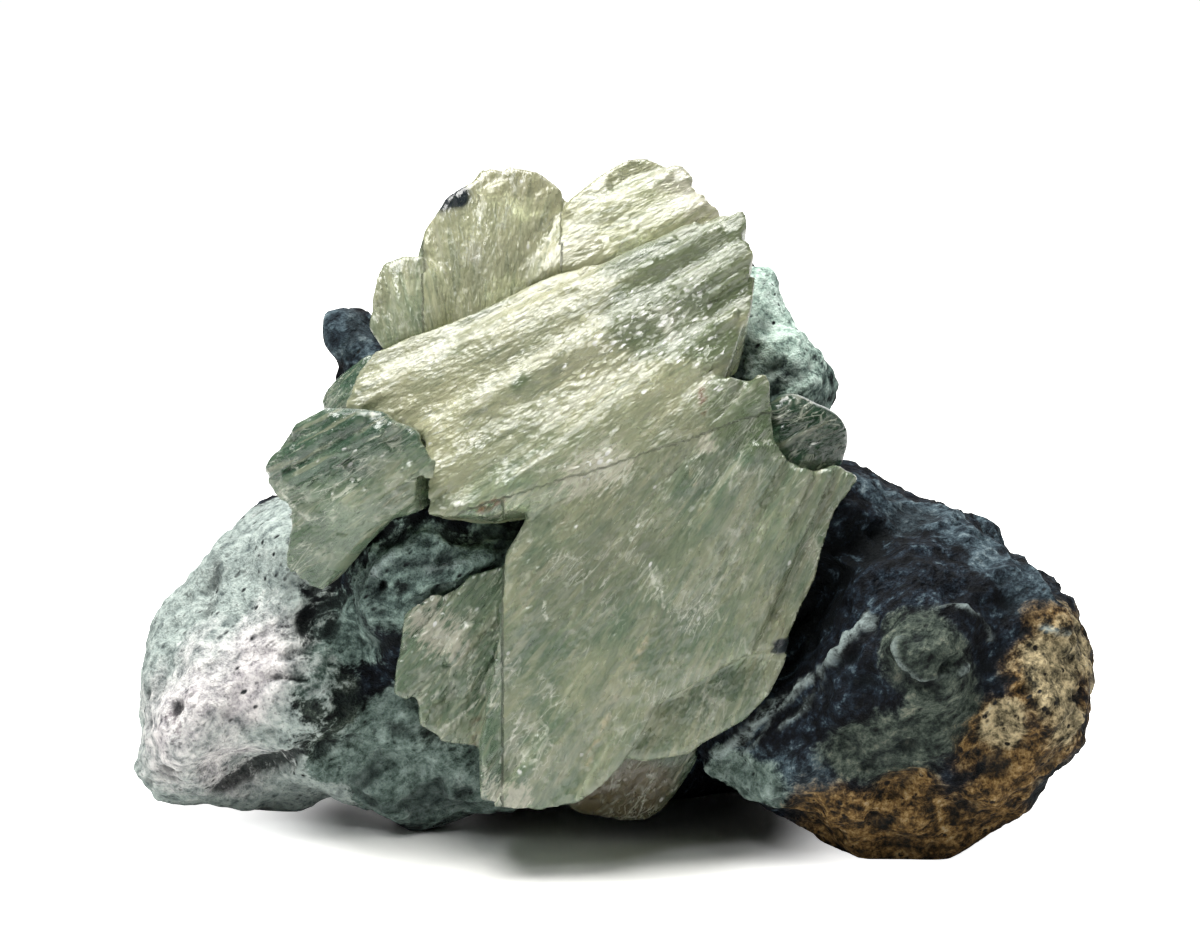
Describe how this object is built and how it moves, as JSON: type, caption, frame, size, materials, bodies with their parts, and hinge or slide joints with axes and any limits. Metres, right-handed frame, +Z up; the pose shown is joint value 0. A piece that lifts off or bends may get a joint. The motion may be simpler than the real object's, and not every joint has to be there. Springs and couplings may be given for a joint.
{
  "type": "brucite mineral specimen",
  "caption": "Books of pale green bladed brucite crystals grown over a lump of dark, weathered serpentine rock that stands on its own feet",
  "frame": {"origin": "below the middle of the specimen's box, on the surface that it stands on", "axes": "+X to the right along the specimen's longest side, -Y towards the viewer of the crystals, +Z up"},
  "size_m": [0.0798, 0.046, 0.0555],
  "materials": {
    "matrix rock": "rough, pitted and weathered",
    "brucite": "translucent, waxy to pearly, with fine sheet edges"
  },
  "bodies": {
    "root": {"matrix_rock": "matrix rock", "main_blades": "brucite", "crown_crystals": "brucite", "left_crystal": "brucite", "right_knob_crystal": "brucite", "under_crystal": "brucite", "left_edge_crystal": "brucite"}
  },
  "joints": []
}
